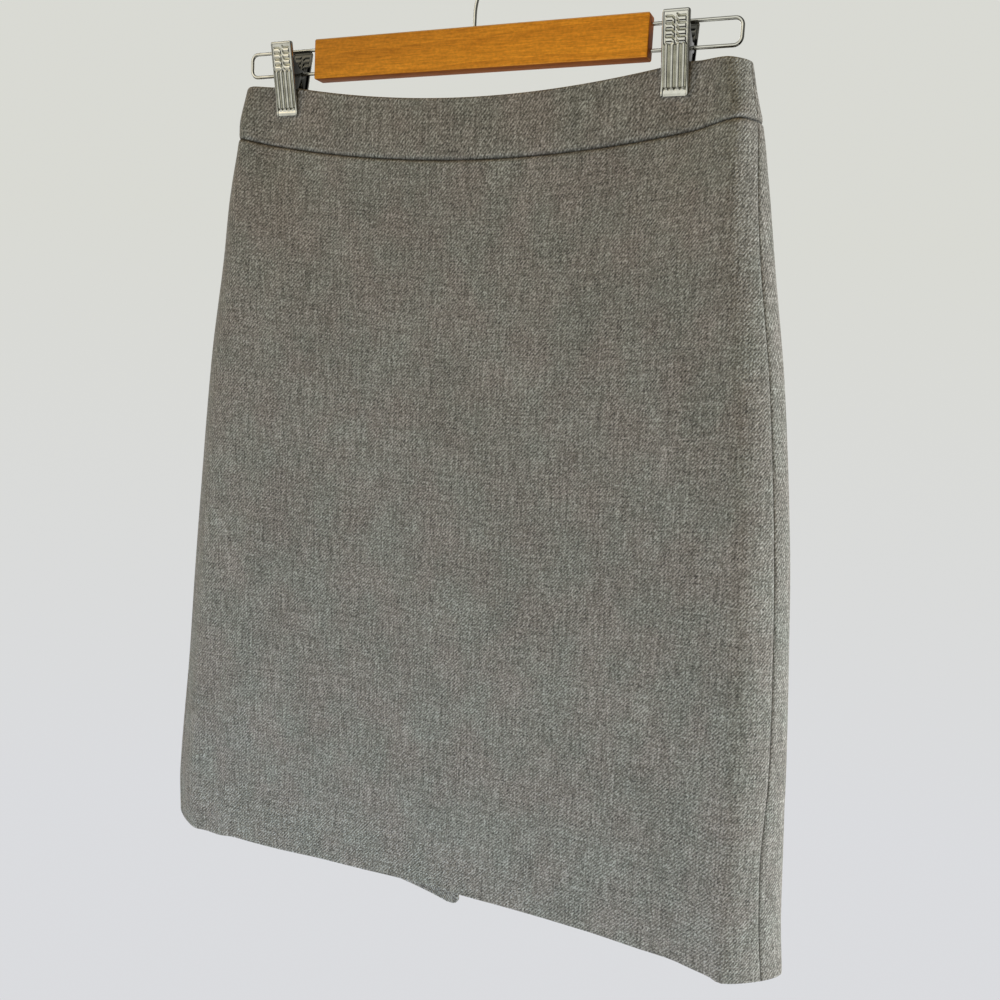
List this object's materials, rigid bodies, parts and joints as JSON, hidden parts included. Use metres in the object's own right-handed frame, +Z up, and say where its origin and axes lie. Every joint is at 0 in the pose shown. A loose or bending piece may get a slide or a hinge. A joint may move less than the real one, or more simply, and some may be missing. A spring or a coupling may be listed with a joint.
{
  "type": "pencil skirt on a wooden clip hanger",
  "caption": "Plain wool pencil skirt with a contoured waistband, back zip and back vent, hung by its waist from a wooden clip hanger.",
  "frame": {"origin": "the inside top of the hanger's hook, where it rests on a rail", "axes": "+Z up, +X towards the right of someone who faces the skirt's front, +Y from the front towards the back"},
  "size_m": [0.5363, 0.0819, 0.7365],
  "materials": {
    "wool_twill": "warm grey flecked wool twill, matt",
    "zip_tape": "grey woven zip tape",
    "zip_metal": "satin",
    "bar_wood": "orange-brown varnished hardwood",
    "clip_steel": "nickel-plated pressed steel",
    "wire_steel": "nickel-plated wire"
  },
  "bodies": {
    "skirt_on_hanger": {"waistband_front": "wool_twill", "waistband_back_right": "wool_twill", "waistband_back_left": "wool_twill", "front_panel": "wool_twill", "back_panel_right": "wool_twill", "back_panel_left": "wool_twill", "zip_tape_right": "zip_tape", "zip_tape_left": "zip_tape", "zip_slider": "zip_metal", "hanger_bar": "bar_wood", "hanger_hook": "wire_steel", "wire_loop_right": "wire_steel", "wire_loop_left": "wire_steel", "clip_right_front_jaw": "clip_steel", "clip_right_back_jaw": "clip_steel", "clip_right_spring": "wire_steel", "clip_left_front_jaw": "clip_steel", "clip_left_back_jaw": "clip_steel", "clip_left_spring": "wire_steel"},
    "pull_tab": {"zip_pull": "zip_metal"}
  },
  "joints": [
    {"name": "pull_tab_hinge", "type": "hinge", "parent": "skirt_on_hanger", "child": "pull_tab", "pos_m": [0, 0.01143, -0.128], "axis": [1, 0, 0], "range_deg": [0, 150]}
  ]
}
